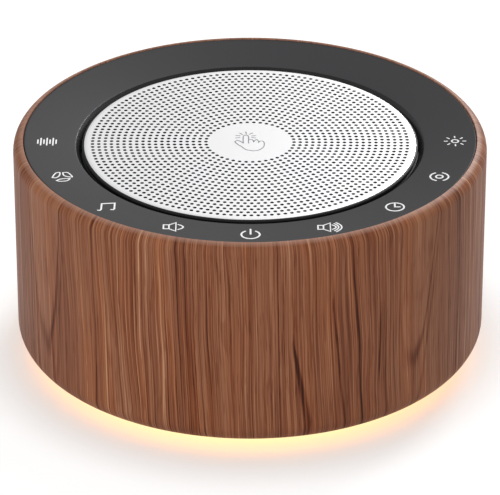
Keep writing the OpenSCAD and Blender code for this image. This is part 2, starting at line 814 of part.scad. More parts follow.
// Dish with a bead that carries the light ring, a flange for the lamp board, screw bosses that
// the main board stands on, and shallow seats for the feet
module base_cover() color("#26272a") {
    difference() {
        union() {
            revolve([
                [0, base_z], [base_wall_r - base_edge, base_z], [snap_r, base_z + base_edge],
                [snap_r, ring_z],
                [base_wall_r, ring_z], [base_wall_r, base_flange_z], [base_flange_r, base_flange_z],
                [base_flange_r, base_flange_z + base_flange_t],
                [base_wall_r - 1.8, base_flange_z + base_flange_t],
                [base_wall_r - 1.8, floor_gap], [0, floor_gap]
            ]);
            place(post_angles, post_circle_r) rod(base_boss_r, base_z, main_board_z - base_z);
            for (a = side_angles) rotate(a) translate([base_rib[0], -base_rib[1] / 2, floor_gap - eps])
                cube([base_wall_r - base_rib[0] - 1, base_rib[1], base_rib[2]]);
        }
        place(post_angles, post_circle_r) {
            rod(screw_sink_r, base_z - over, screw_sink_z - base_z + over);
            rod(clear_r, base_z, main_board_z);
        }
        place(side_angles, foot_circle_r) rod(foot_d / 2 + 0.1, base_z - over, over + foot_sink);
        rotate(led_lead_angle)
            translate([led_lead_route[0].x - lead_hole.x / 2, -lead_hole.y / 2, base_flange_z - over])
                cube([lead_hole.x, lead_hole.y, base_flange_t + 2 * over]);
    }
}

module base_screws() color("#9fa3a8") {
    place(post_angles, post_circle_r)
        screw(screw_r, screw_len + board_top_z - screw_sink_z - 2, screw_head_r, screw_head_t,
            screw_sink_z);
}

module rubber_feet() color("#3b3b3d") {
    foot_top = base_z + foot_sink;
    place(side_angles, foot_circle_r) revolve([[0, 0], [foot_d / 2 - foot_edge, 0],
        [foot_d / 2, foot_edge], [foot_d / 2, foot_top], [0, foot_top]]);
}

wood_grain_sleeve();
touch_panel();
speaker_grille();
grille_carrier();
dust_mesh();
inner_frame();
touch_board();
touch_springs();
tap_contact();
panel_screws();
speaker_gasket();
speaker_basket();
speaker_terminal();
speaker_cone();
dust_cap();
voice_coil();
surround();
spider();
top_plate();
ring_magnet();
yoke();
speaker_screws();
main_board();
board_chips();
capacitors();
board_connectors();
usb_board();
usb_socket();
usb_tongue();
usb_screws();
usb_leads();
speaker_leads();
touch_ribbon();
led_leads();
led_board();
leds();
light_ring();
base_cover();
base_screws();
rubber_feet();
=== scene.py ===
import math
from functools import partial

import bmesh
import bpy
import numpy as np
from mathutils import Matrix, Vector


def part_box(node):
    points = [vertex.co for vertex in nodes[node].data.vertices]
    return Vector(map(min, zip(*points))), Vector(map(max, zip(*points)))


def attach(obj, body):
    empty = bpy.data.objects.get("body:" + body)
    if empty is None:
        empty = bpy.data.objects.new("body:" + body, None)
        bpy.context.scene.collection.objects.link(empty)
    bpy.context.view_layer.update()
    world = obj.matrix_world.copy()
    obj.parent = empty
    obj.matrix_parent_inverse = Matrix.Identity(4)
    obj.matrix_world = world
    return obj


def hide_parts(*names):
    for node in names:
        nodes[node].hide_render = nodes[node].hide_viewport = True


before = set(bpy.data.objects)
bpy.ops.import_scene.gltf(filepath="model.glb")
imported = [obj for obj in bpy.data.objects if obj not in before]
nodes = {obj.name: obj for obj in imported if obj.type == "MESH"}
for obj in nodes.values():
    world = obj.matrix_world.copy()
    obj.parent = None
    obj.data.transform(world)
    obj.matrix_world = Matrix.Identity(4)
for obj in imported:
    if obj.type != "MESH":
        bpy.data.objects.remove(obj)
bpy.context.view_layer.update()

mm = 0.001
noiseRange = 0.3, 0.7    # where nearly all of a noise's values lie


# sRGB hex to linear RGBA
def linear(hexColour):
    parts = [int(hexColour[i:i + 2], 16) / 255 for i in (1, 3, 5)]
    return tuple(c / 12.92 if c <= 0.04045 else ((c + 0.055) / 1.055) ** 2.4 for c in parts) + (1.0,)


# Feeds a node's sockets, by place among those in use or by name: a node or a socket is linked,
# and anything else becomes the socket's own value
def feed(node, inputs):
    used = [socket for socket in node.inputs if socket.enabled]
    for key, value in inputs.items() if isinstance(inputs, dict) else enumerate(inputs):
        socket = node.inputs[key] if isinstance(key, str) else used[key]
        if isinstance(value, bpy.types.Node):
            value = next(output for output in value.outputs if output.enabled)
        if isinstance(value, bpy.types.NodeSocket):
            node.id_data.links.new(value, socket)
        else:
            socket.default_value = value


def addNode(tree, kind, inputs=(), operation=None, **settings):
    node = tree.nodes.new("ShaderNode" + kind)
    if operation:
        settings["operation"] = operation
    for name, value in settings.items():
        setattr(node, name, value)
    feed(node, inputs)
    return node


def addObject(name, data):
    thing = bpy.data.objects.new(name, data)
    bpy.context.scene.collection.objects.link(thing)
    return thing


camera = {
    "aim": Vector((0, 0, 26.6)) * mm,
    "elevation": 28.07,
    "distance": 832.9 * mm,
    "lens": 280.4, "sensor": 36,
    "tiltDown": 0.22,  # degrees below the aim, which puts the case above the middle of the frame
}


def makeCamera():
    data = bpy.data.cameras.new("camera")
    data.lens, data.sensor_width = camera["lens"], camera["sensor"]
    data.clip_start, data.clip_end = 0.05, 20
    eye = addObject("camera", data)
    rise = math.radians(camera["elevation"])
    eye.location = camera["aim"] + camera["distance"] * Vector((0, -math.cos(rise), math.sin(rise)))
    eye.rotation_euler = (math.pi / 2 - rise - math.radians(camera["tiltDown"]), 0, 0)
    bpy.context.scene.camera = eye


makeCamera()
print("camera made")


# Object from arrays of points in millimetres and of faces, with its edges sharp past an angle
def makePiece(name, points, faces, material, smoothAngle=35):
    mesh = bpy.data.meshes.new(name)
    mesh.from_pydata((np.asarray(points, float) * mm).tolist(), [], [list(f) for f in faces])
    mesh.materials.append(material)
    mesh.shade_smooth()
    mesh.set_sharp_from_angle(angle=math.radians(smoothAngle))
    return addObject(name, mesh)


def turnFacesOut(piece):
    work = bmesh.new()
    work.from_mesh(piece.data)
    bmesh.ops.recalc_face_normals(work, faces=work.faces)
    work.to_mesh(piece.data)
    work.free()


# Points centre + radius (cos a, sin a), for a from one angle to the other in degrees
def arcPoints(centre, radius, start=0.0, end=360.0, steps=32):
    a = np.radians(np.linspace(start, end, steps + 1))
    return np.asarray(centre, float) + radius * np.stack([np.cos(a), np.sin(a)], -1)


# Quadratic curve (1 - t)^2 a + 2 t (1 - t) b + t^2 c
def bend(a, b, c, steps=8):
    t = np.linspace(0, 1, steps + 1)[:, None]
    return (1 - t) ** 2 * np.array(a) + 2 * t * (1 - t) * np.array(b) + t ** 2 * np.array(c)


# Outline of (r, z, fillet) corners: each fillet is a quadratic curve between two points that
# lie the fillet's length before and after the corner
def rounded(corners, steps=4):
    corners = np.array(corners, float)
    outline = []
    for before, here, after in zip(np.roll(corners, 1, 0), corners, np.roll(corners, -1, 0)):
        toBefore = (before - here)[:2] / np.hypot(*(before - here)[:2])
        toAfter = (after - here)[:2] / np.hypot(*(after - here)[:2])
        fillet = bend(here[:2] + here[2] * toBefore, here[:2], here[:2] + here[2] * toAfter, steps)
        outline.append(fillet if here[2] > 0 else here[None, :2])
    return np.concatenate(outline)


# Quads between n rows of m points each: round every row, and back from the last row if closed
def gridFaces(n, m, closed=True):
    i, j = np.arange(n if closed else n - 1)[:, None], np.arange(m)[None, :]
    nextI, nextJ = (i + 1) % n, (j + 1) % m
    return np.stack([i * m + j, nextI * m + j, nextI * m + nextJ, i * m + nextJ], -1).reshape(-1, 4)


# Solid of revolution: point (i, j) is (r_j cos a_i, r_j sin a_i, z_j), with a_i round the axis
def revolved(name, outline, material, turns):
    angle = 2 * np.pi * np.arange(turns)[:, None] / turns
    r, z = outline[:, 0][None, :], outline[:, 1][None, :]
    points = np.stack([r * np.cos(angle), r * np.sin(angle), z + 0 * angle], -1).reshape(-1, 3)
    return makePiece(name, points, gridFaces(turns, len(outline)), material)


# Bar along Y whose section is a stadium: two half circles of height h joined by flats, w wide
def stadiumBar(name, w, h, y0, y1, z, material):
    side = arcPoints(((w - h) / 2, 0), h / 2, -90, 90, 16)
    loop = np.concatenate([side, -side])
    n = len(loop)
    points = [np.column_stack([loop[:, 0], np.full(n, y), loop[:, 1] + z]) for y in (y0, y1)]
    faces = gridFaces(2, n, False).tolist() + [list(range(n)), list(range(2 * n - 1, n - 1, -1))]
    return makePiece(name, np.concatenate(points), faces, material)


# Box between two corners, turned round Z: its points are (x_i, y_j, z_k) of the two corners
def boxPiece(name, low, high, turn, material):
    grid = np.stack(np.meshgrid(*zip(low, high), indexing="ij"), -1).reshape(-1, 3).astype(float)
    co, si = math.cos(math.radians(turn)), math.sin(math.radians(turn))
    grid[:, :2] = grid[:, :2] @ np.array([[co, si], [-si, co]])
    faces = [(0, 1, 3, 2), (4, 6, 7, 5), (0, 4, 5, 1), (2, 3, 7, 6), (0, 2, 6, 4), (1, 5, 7, 3)]
    return makePiece(name, grid, faces, material)


# Cuts or joins the tools to the piece for good, and takes the tools away
def combine(piece, tools, operation):
    for tool in tools:
        change = piece.modifiers.new(tool.name, "BOOLEAN")
        change.operation, change.solver, change.object = operation, "EXACT", tool
    graph = bpy.context.evaluated_depsgraph_get()
    piece.data = bpy.data.meshes.new_from_object(piece.evaluated_get(graph))
    piece.modifiers.clear()
    for tool in tools:
        bpy.data.objects.remove(tool)


def joinHousing(piece, node):
    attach(piece, "housing")
    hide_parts(node)


# A material with its constant values set, the function that adds nodes to it, its shader, and
# the point on the piece in millimetres
def startMaterial(name, colour, roughness, **constants):
    material = bpy.data.materials.new(name)
    material.use_nodes = True
    add = partial(addNode, material.node_tree)
    shader = material.node_tree.nodes["Principled BSDF"]
    feed(shader, {"Base Color": linear(colour), "Roughness": roughness, **constants})
    local = add("TexCoord").outputs["Object"]
    place = add("VectorMath", [local, (1 / mm,) * 3], "MULTIPLY")
    return material, add, shader, place


# Wood-grain transfer film over moulded ABS: printed straight grain under a satin lacquer, which
# gives a soft sheen at the rim, a pale highlight painted along the lip, and lines that run on over
# both rounded edges. Places on it are in millimetres round the case from the front, to the right,
# and up from the surface it stands on
woodFilm = {
    "tones": ((0.0, "#3a1d12"), (0.25, "#663825"), (0.5, "#89553c"), (0.72, "#a36f52"), (1.0, "#d4a988")),
    "roughness": 0.52, "sheen": 0.14, "lacquer": 0.02, "lacquerRoughness": 0.3, "relief": 0.03,
    "golden": "#b98c52",
    # The lip's painted highlight: its colour, the heights it fades in between, and its share
    "lipHighlightColour": "#b89484", "lipHighlightFrom": 49.35, "lipHighlightTo": 49.95, "lipHighlightShare": 0.5,
    # Noise figures: width of a cell, its length over its width, detail, roughness, the range of
    # the noise that is used, and what that becomes
    "sway": (12, 3.2, 2.0, 0.35, 0.0, 1.0, -1.7, 1.7),
    "ground": (6, 16, 3.0, 0.55, 0.34, 0.66, 0.52, 0.645),
    "vein": (1.4, 60, 2.0, 0.6, 0.36, 0.64, 0.05, -0.06),
    "fibre": (0.3, 130, 3.0, 0.62, 0.3, 0.7, -0.25, 0.25),
    "pore": (0.4, 18, 1.0, 0.5, 0.58, 0.68, 0.0, -0.13),
    "warmth": (3, 16, 2.0, 0.5, 0.46, 0.66, 0.0, 0.32),
    "wobble": (2.5, 8, 2.0, 0.5, 0.3, 0.7, -0.05, 0.05),
    "ragged": (0.6, 24, 2.0, 0.5, 0.4, 0.56, 0.5, 1.0),
    "lean": 0.035,
    # Families of lines: how many round the case, half width, least and most force, and the
    # share of it that is left where a line fades
    "darkLines": [(164, 0.22, 0.02, 0.54, 0.65), (392, 0.15, 0.0, 0.36, 0.4), (740, 0.11, 0.0, 0.22, 0.2)],
    "lightLines": [(150, 0.24, -0.3, 0.26, 0.6), (520, 0.13, -0.12, 0.17, 0.3)],
    "lineSpread": (0.25, 0.75),     # where in its cell a line's middle stands
    # Where lines fade: length of the noise's cells, its detail, roughness and the range it is used in
    "lineFade": (60, 1.0, 0.5, 0.4, 0.58),
    # Broad bands: middle, reach and strength. Bold and calm figure: middle, where it starts and
    # ends to fade, and the share of the lines elsewhere or there
    "bands": [(-27, 9, 0.06), (-13, 7, -0.05), (42, 26, 0.07)],
    "bold": (-22.0, 8.0, 16.0, 0.6), "calm": (39.0, 5.0, 11.0, 0.55),
    "fibreShare": (0.0, 0.6, 0.4, 1.0),     # range of the lines' share, and what fibres make of it
    # Calm tongues: place and height of the tip, half width at the top, drift of the middle, and
    # how much paler they are; their rims: depth in the tongue, half width and force
    "tongues": [(-50.8, 15.0, 6.6, -0.6, 0.1), (36.3, 16.0, 5.8, 2.2, 0.02)],
    "tongueCurve": 2.5, "tongueEdge": (-0.02, 0.2), "tongueShare": 0.2, "farSideShare": 0.35,
    "rims": [(0.0, 0.1, 0.26), (-0.4, 0.14, 0.15), (0.4, 0.1, 0.05)],
    # Single lines: place at the top and at the foot, height where each fades out, half width, force
    "streaks": [(-34.6, -34.0, 60, -10, 0.4, 0.44), (16.6, 20.4, 42, -5, 0.42, 0.42),
                (21.4, 24.8, 60, -5, 0.42, 0.44), (27.7, 27.9, 34, 12, 0.5, 0.4),
                (33.3, 33.5, 60, 6, 0.34, 0.32), (52.0, 52.3, 60, -5, 0.4, 0.36),
                (4.0, 5.2, 40, 5, 0.34, 0.26)],
    "streakFade": 6, "soften": 0.2,     # share of the half width from which it softens
    # From place, height, to place, height, half width at its foot and at its top, and force
    "gash": (8.8, 27.0, 12.0, 8.6, 1.3, 0.25, 0.5),
    "topZ": 50.0,
}


def woodFilmMaterial(radius):
    w = woodFilm
    material, add, shader, place = startMaterial(
        "woodGrainFilmOnAbs", w["tones"][2][1], w["roughness"],
        **{"Specular IOR Level": w["sheen"], "Coat Weight": w["lacquer"],
           "Coat Roughness": w["lacquerRoughness"]})
    x, y, z = add("SeparateXYZ", [place]).outputs
    front = add("Math", [y, -1.0], "MULTIPLY")
    angle = add("Math", [x, front], "ARCTAN2")
    arc = add("Math", [angle, radius], "MULTIPLY")

    # The point on the case's circle at the same height, which carries a line over a rounded edge
    across = add("VectorMath", [place, (1, 1, 0)], "MULTIPLY")
    outward = add("VectorMath", [across], "NORMALIZE")
    height = add("VectorMath", [place, (0, 0, 1)], "MULTIPLY")
    wall = add("VectorMath", [outward, (radius,) * 3, height], "MULTIPLY_ADD")

    smooth = {"interpolation_type": "SMOOTHSTEP"}

    # Noise stretched up the wall, with a part of its range brought to another
    def figure(point, width, stretch, detail, rough, fromLow, fromHigh, toLow, toHigh):
        drawn = add("VectorMath", [point, (1, 1, 1 / stretch)], "MULTIPLY")
        noise = add("TexNoise", {"Vector": drawn, "Scale": 1 / width, "Detail": detail, "Roughness": rough})
        return add("MapRange", [noise, fromLow, fromHigh, toLow, toHigh])

    # The whole figure sways to the side by slow noise, and leans a little with the height
    sway = figure(wall, *w["sway"])
    shift = add("Math", [z, w["lean"], sway], "MULTIPLY_ADD")
    grainArc = add("Math", [arc, shift], "ADD")
    turn = add("Math", [shift, 1 / radius], "MULTIPLY")
    grain = add("VectorRotate", {"Vector": wall, "Angle": turn}, rotation_type="Z_AXIS")

    # Distance of a value from a line's middle
    def apart(value, middle):
        difference = add("Math", [value, middle], "SUBTRACT")
        return add("Math", [difference], "ABSOLUTE")

    # A hump over a line's middle, gone at the reach
    def hump(value, middle, reach, highest):
        return add("MapRange", [apart(value, middle), 0.0, reach, highest, 0.0], **smooth)

    # Lines up the wall. Their number rises evenly round the case: the whole part is a line's own,
    # and gives it a place within its cell and a force, and the fraction is the place in the cell
    def lines(count, halfWidth, least, most, left):
        pitch = 2 * math.pi * radius / count
        number = add("Math", [grainArc, 1 / pitch], "MULTIPLY")
        whole = add("Math", [number], "FLOOR")
        fraction = add("Math", [number, whole], "SUBTRACT")
        wrapped = add("Math", [whole, count, 0.0], "WRAP")
        own = add("TexWhiteNoise", {"W": wrapped}, noise_dimensions="1D").outputs["Color"]
        first, second = add("SeparateColor", [own]).outputs[:2]
        middle = add("MapRange", [first, 0.0, 1.0, *w["lineSpread"]])
        force = add("MapRange", [second, 0.0, 1.0, least, most])
        line = hump(fraction, middle, halfWidth / pitch, 1.0)
        forced = add("Math", [line, force], "MULTIPLY")
        length, *noise = w["lineFade"]
        fade = figure(grain, pitch, length / pitch, *noise, left, 1.0)
        return add("Math", [forced, fade], "MULTIPLY")

    # Tongues: depth = rise - (sideways / half width)^curve is above 0 inside and falls away outside
    inside, paler, rims = 0.0, 0.0, 0.0
    wobble = figure(grain, *w["wobble"])
    for tip, tipZ, halfWidth, drift, pale in w["tongues"]:
        rise = add("MapRange", [z, tipZ, w["topZ"], 0.0, 1.0], clamp=False)
        centre = add("MapRange", [rise, 0.0, 1.0, tip, tip + drift])
        sideways = add("Math", [arc, centre], "SUBTRACT")
        offset = add("Math", [apart(sideways, 0.0), 1 / halfWidth], "MULTIPLY")
        hollow = add("Math", [offset, w["tongueCurve"]], "POWER")
        depth = add("Math", [rise, hollow], "SUBTRACT")
        depth = add("Math", [depth, wobble], "ADD")
        within = add("MapRange", [depth, *w["tongueEdge"], 0.0, 1.0], **smooth)
        inside = add("Math", [inside, within], "ADD")
        paler = add("Math", [within, pale, paler], "MULTIPLY_ADD")
        side = add("MapRange", [sideways, -halfWidth / 3, halfWidth / 3, w["farSideShare"], 1.0])
        for level, thick, force in w["rims"]:
            rim = hump(depth, level, thick, force)
            rims = add("Math", [rim, side, rims], "MULTIPLY_ADD")
    outside = add("MapRange", [inside, 0.0, 1.0, 1.0, w["tongueShare"]])

    # Single streaks, each a band about a slanting line that fades out at both ends
    ragged = figure(grain, *w["ragged"])
    swayed = add("Math", [arc, sway], "ADD")
    streaks, fadeZ = 0.0, w["streakFade"]
    for top, foot, highEnd, lowEnd, halfWidth, force in w["streaks"]:
        centre = add("MapRange", [z, w["topZ"], 0.0, top, foot])
        band = add("MapRange", [apart(swayed, centre), w["soften"] * halfWidth, halfWidth, force, 0.0])
        upper = add("MapRange", [z, highEnd - fadeZ, highEnd, 1.0, 0.0])
        lower = add("MapRange", [z, lowEnd, lowEnd + fadeZ, 0.0, 1.0])
        ended = add("Math", [band, upper], "MULTIPLY")
        streaks = add("Math", [ended, lower, streaks], "MULTIPLY_ADD")

    # The gash is a wedge about a slanting line, and narrows towards its top
    startArc, startZ, endArc, endZ, footWidth, topWidth, force = w["gash"]
    centre = add("MapRange", [z, startZ, endZ, startArc, endArc])
    reach = add("MapRange", [z, startZ + 3, endZ, topWidth, footWidth])
    away = add("Math", [apart(arc, centre), reach], "DIVIDE")
    band = add("MapRange", [away, w["soften"], 1.0, force, 0.0], **smooth)
    low = add("MapRange", [z, startZ - 3, startZ + 6, 1.0, 0.0], **smooth)
    gash = add("Math", [band, low], "MULTIPLY")

    # Share of the lines at each place: more where the figure is bold, less where it is calm
    middle, near, far, elsewhere = w["bold"]
    bold = add("MapRange", [apart(arc, middle), near, far, 1.0, elsewhere], **smooth)
    middle, near, far, least = w["calm"]
    calm = add("MapRange", [apart(apart(arc, 0.0), middle), near, far, least, 1.0], **smooth)
    share = add("Math", [bold, outside], "MULTIPLY")
    share = add("Math", [share, calm], "MULTIPLY")

    # Tone: the ground and the pale parts less the dark parts, each times its own share, read off a
    # ramp of the film's five browns
    fibreShare = add("MapRange", [share, *w["fibreShare"]])
    paleParts = [(figure(grain, *w["fibre"]), fibreShare), (figure(grain, *w["vein"]), 1.0),
                 (figure(grain, *w["pore"]), 1.0), (paler, 1.0)]
    paleParts += [(hump(arc, middle, reach, strength), 1.0) for middle, reach, strength in w["bands"]]
    paleParts += [(lines(*family), share) for family in w["lightLines"]]
    darkParts = [(lines(*family), share) for family in w["darkLines"]]
    darkParts += [(rims, 1.0), (streaks, ragged), (gash, ragged)]
    pale, dark = figure(grain, *w["ground"]), 0.0
    for part, itsShare in paleParts:
        pale = add("Math", [part, itsShare, pale], "MULTIPLY_ADD")
    for part, itsShare in darkParts:
        dark = add("Math", [part, itsShare, dark], "MULTIPLY_ADD")
    tone = add("Math", [pale, dark], "SUBTRACT")
    ramp = add("ValToRGB", [tone])
    for spot, brown in w["tones"][1:-1]:
        ramp.color_ramp.elements.new(spot)
    for element, (spot, brown) in zip(ramp.color_ramp.elements, w["tones"]):
        element.position, element.color = spot, linear(brown)
    warmth = figure(grain, *w["warmth"])
    tinted = add("Mix", [warmth, ramp, linear(w["golden"])], data_type="RGBA", blend_type="SOFT_LIGHT")

    # A pale band is painted round the top of the lip as a highlight, fading in from below
    paintedLipHighlight = add("MapRange", [z, w["lipHighlightFrom"], w["lipHighlightTo"], 0.0, w["lipHighlightShare"]])
    rougher, smoother = w["roughness"] + 0.08, w["roughness"] - 0.04
    feed(shader, {
        "Base Color": add("Mix", [paintedLipHighlight, tinted, linear(w["lipHighlightColour"])], data_type="RGBA"),
        "Roughness": add("MapRange", [tone, 0.2, 0.8, rougher, smoother]),
        "Normal": add("Bump", {"Height": tone, "Distance": w["relief"] * mm})})
    return material


# A colour times a share that a value's range is brought to
def shaded(add, colour, value, low, high, least, most):
    share = add("MapRange", [value, low, high, least, most])
    return add("VectorMath", [linear(colour)[:3], share], "MULTIPLY")


# Injection-moulded plastic: one dyed colour, and the fine grain that spark erosion leaves in a
# mould, drawn about three times as coarse as it is so that it shows
def moulded(name, colour, roughness, grain=0.15, depth=0.008, variation=0.05, sheen=0.5):
    material, add, shader, place = startMaterial(name, colour, roughness, **{"Specular IOR Level": sheen})
    spots = add("TexNoise", {"Vector": place, "Scale": 1 / grain})
    cloud = add("TexNoise", {"Vector": place, "Scale": 1 / 9})    # patches 9 mm wide
    feed(shader, {
        "Base Color": shaded(add, colour, cloud, *noiseRange, 1 - variation, 1 + variation),
        "Roughness": add("MapRange", [spots, *noiseRange, roughness - 0.04, roughness + 0.04]),
        "Normal": add("Bump", {"Height": spots, "Distance": depth * mm})})
    return material


# Sheet or turned metal: blasted, plated or drawn, with marks that stretch along one way and are
# drawn coarser than they are, so that the soft sparkle shows
def sheetMetal(name, colour, roughness, grain=0.2, depth=0.004, stretch=(1, 1, 1), metallic=1.0):
    material, add, shader, place = startMaterial(name, colour, roughness, Metallic=metallic)
    drawn = add("VectorMath", [place, stretch], "MULTIPLY")
    marks = add("TexNoise", {"Vector": drawn, "Scale": 1 / grain, "Detail": 3.0})
    feed(shader, {
        "Roughness": add("MapRange", [marks, *noiseRange, roughness - 0.05, roughness + 0.07]),
        "Normal": add("Bump", {"Height": marks, "Distance": depth * mm})})
    return material


# Plain-woven cloth: sin(x) sin(y) of the thread spacing, the threads over and under in turn. It
# is drawn about twice as coarse as it is, so that the weave shows
def wovenCloth(name, colour, thread, roughness=0.9):
    material, add, shader, place = startMaterial(name, colour, roughness)
    phase = add("VectorMath", [place, (math.pi / thread,) * 3], "MULTIPLY")
    waves = add("VectorMath", [phase], "SINE")
    x, y = add("SeparateXYZ", [waves]).outputs[:2]
    weave = add("Math", [x, y], "MULTIPLY")
    feed(shader, {
        "Base Color": shaded(add, colour, weave, -1.0, 1.0, 0.45, 1.0),
        "Normal": add("Bump", {"Height": weave, "Distance": thread / 3 * mm})})
    return material


# Glass-fibre board under solder mask: patches of tracks show as paler lines through the lacquer.
# The tracks are drawn wider apart than they are, so that they show
def circuitBoard(name, colour, track, trackPitch=2.4, patchWidth=5):
    material, add, shader, place = startMaterial(name, colour, 0.35)
    grid = add("TexBrick", {
        "Vector": place, "Scale": 1 / trackPitch, "Mortar Size": 0.06,
        "Color1": linear(colour), "Color2": linear(colour), "Mortar": linear(track)})
    cloud = add("TexNoise", {"Vector": place, "Scale": 1 / patchWidth, "Detail": 1.0})
    patch = add("MapRange", [cloud, 0.45, 0.55, 0.0, 1.0])
    feed(shader, {
        "Base Color": add("Mix", [patch, linear(colour), grid], data_type="RGBA"),
        "Normal": add("Bump", {"Height": grid.outputs["Fac"], "Distance": 0.02 * mm})})
    return material


# Fibrous or grainy stock, such as pressed paper, foam, ferrite, rubber or ink, by its grain size
def grainy(name, colour, roughness, grain, depth, contrast=0.25):
    material, add, shader, place = startMaterial(name, colour, roughness)
    spots = add("TexNoise", {"Vector": place, "Scale": 1 / grain, "Detail": 4.0, "Roughness": 0.65})
    feed(shader, {
        "Base Color": shaded(add, colour, spots, *noiseRange, 1 - contrast, 1 + contrast),
        "Normal": add("Bump", {"Height": spots, "Distance": depth * mm})})
    return material


# Enamelled copper winding: sin(z) of the wire's pitch up the former
def woundCopper(name, colour, pitch=0.2):
    material, add, shader, place = startMaterial(name, colour, 0.3, Metallic=1.0)
    phase = add("VectorMath", [place, (2 * math.pi / pitch,) * 3], "MULTIPLY")
    waves = add("VectorMath", [phase], "SINE")
    turns = add("SeparateXYZ", [waves]).outputs["Z"]
    feed(shader, {
        "Base Color": shaded(add, colour, turns, -1.0, 1.0, 0.4, 1.0),
        "Normal": add("Bump", {"Height": turns, "Distance": pitch / 4 * mm})})
    return material


# Milky polycarbonate that the lamps light from behind: yellow in the middle of the ring, and
# orange and stronger towards its outer edge, where more of the light comes through
glow = {
    "innerColour": "#fff04a", "outerColour": "#ff9c2c", "innerRadius": 40.5, "outerRadius": 45.0,
    "innerStrength": 1.8, "outerStrength": 9.0, "brightFrom": 44.1,
    "cloudWidth": 2, "uneven": 0.08,
    "lampStrength": (3.2, 4.8), "phosphorGrain": 0.3,
}


def milkyDiffuser():
    material, add, shader, place = startMaterial("milkyPolycarbonate", "#f6ecd2", 0.5, IOR=1.58)
    cloud = add("TexNoise", {"Vector": place, "Scale": 1 / glow["cloudWidth"]})
    across = add("VectorMath", [place, (1, 1, 0)], "MULTIPLY")
    radius = add("VectorMath", [across], "LENGTH")
    outward = add("MapRange", [radius, glow["innerRadius"], glow["outerRadius"], 0.0, 1.0])
    power = add("MapRange", [radius, glow["brightFrom"], glow["outerRadius"],
                             glow["innerStrength"], glow["outerStrength"]])
    uneven = add("MapRange", [cloud, *noiseRange, 1 - glow["uneven"], 1 + glow["uneven"]])
    colours = [linear(glow[name]) for name in ("innerColour", "outerColour")]
    feed(shader, {
        "Emission Color": add("Mix", [outward, *colours], data_type="RGBA"),
        "Emission Strength": add("Math", [power, uneven], "MULTIPLY")})
    return material


# Yellow phosphor in silicone over each lamp's chip
def lampPhosphor():
    material, add, shader, place = startMaterial("lampPhosphor", "#f2c94a", 0.6)
    grains = add("TexNoise", {"Vector": place, "Scale": 1 / glow["phosphorGrain"]})
    power = add("MapRange", [grains, *noiseRange, *glow["lampStrength"]])
    feed(shader, {"Emission Color": linear(glow["innerColour"]), "Emission Strength": power})
    return material


# Finish of every node that keeps its mesh, by the name of its material slot. Moulded plastic is
# even and matt, plated or drawn metal mirrors softly, boards are glossy over paler tracks, and
# paper, foam, rubber and ferrite are dull and grainy. Numbers are the roughness, the grain's width
# and depth in millimetres, and its stretch or contrast, but a cloth has only its thread's spacing
finishes = {
    "frame_plastic": moulded("glassFilledNylon", "#2a2c2f", 0.55, 0.4, 0.02),
    "base_plastic": moulded("mouldedAbsBlack", "#26272a", 0.5, 0.25, 0.015),
    "plated_steel": sheetMetal("zincPlatedSteel", "#c9ccd0", 0.32, 0.6, 0.004),
    "screw_steel": sheetMetal("nickelPlatedScrewSteel", "#b8bcc2", 0.25, 0.3, 0.003),
    "spring_wire": sheetMetal("hardDrawnMusicWire", "#d2c8a8", 0.25, 0.2, 0.003),
    "contact_bronze": sheetMetal("phosphorBronzeStrip", "#d09a58", 0.3, 0.3, 0.003, (0.1, 1, 1)),
    "socket_steel": sheetMetal("stampedStainlessSteel", "#c6cace", 0.28, 0.3, 0.003, (1, 0.1, 1)),
    "capacitor_can": sheetMetal("drawnAluminiumCan", "#c4c8cc", 0.3, 0.3, 0.003, (1, 1, 0.1)),
    "acoustic_cloth": wovenCloth("wovenPolyesterMesh", "#0e0e0f", 0.25),
    "spider_cloth": wovenCloth("phenolicCottonCloth", "#c8a45c", 0.5),
    "circuit_board": circuitBoard("glassEpoxyGreenMask", "#14502f", "#2f8a56"),
    "lamp_board": circuitBoard("glassEpoxyWhiteMask", "#ebe9e0", "#d4cfbe"),
    "terminal_board": grainy("phenolicPaperBoard", "#8a5a33", 0.5, 0.5, 0.01, 0.12),
    "gasket_foam": grainy("closedCellFoam", "#262627", 0.95, 0.35, 0.08),
    "basket_paint": grainy("blackStovedEnamelOnSteel", "#2b2d31", 0.4, 0.8, 0.01, 0.05),
    "cone_paper": grainy("pressedPaperPulp", "#242426", 0.85, 0.5, 0.04),
    "coil_copper": woundCopper("enamelledCopperWire", "#c8743f"),
    "surround_rubber": grainy("butylRubber", "#1a1a1b", 0.6, 0.3, 0.006, 0.08),
    "magnet_ferrite": grainy("sinteredFerrite", "#37373a", 0.7, 0.25, 0.02, 0.15),
    "chip_epoxy": moulded("mouldedEpoxy", "#1b1c1e", 0.6, 0.1, 0.01),
    "connector_nylon": moulded("mouldedNylonNatural", "#e8e4d6", 0.45, 0.3, 0.01),
    "lead_red": moulded("extrudedPvcRed", "#b3372f", 0.4, 0.5, 0.004),
    "lead_black": moulded("extrudedPvcBlack", "#232324", 0.4, 0.5, 0.004),
    "lead_white": moulded("extrudedPvcWhite", "#dedcd4", 0.4, 0.5, 0.004),
    "ribbon_film": circuitBoard("polyesterRibbonFilm", "#d6cdb4", "#b49a5e"),
    "lamp_phosphor": lampPhosphor(),
    "diffuser_milky": milkyDiffuser(),
    "foot_rubber": grainy("siliconeRubber", "#3b3b3d", 0.75, 0.2, 0.01, 0.08),
}
for node in nodes.values():
    for slot in node.material_slots:
        kind = slot.material.name.split(".")[0]
        if kind in finishes:
            slot.material = finishes[kind]

# The disc's carrier is the one steel part painted black, a painted shade for the gap round the disc where
# it would show
nodes["grille_carrier"].material_slots[0].material = grainy(
    "blackPaintedGapShadeOnSteel", "#0d0d0e", 0.6, 0.4, 0.004, 0.05)
print("finishes assigned")

sleeveLow, sleeveHigh = [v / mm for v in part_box("wood_grain_sleeve")]
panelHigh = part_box("touch_panel")[1] / mm
grilleLow, grilleHigh = [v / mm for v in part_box("speaker_grille")]
socketLow, socketHigh = [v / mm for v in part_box("usb_socket")]
ringLow, ringHigh = [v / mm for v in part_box("light_ring")]

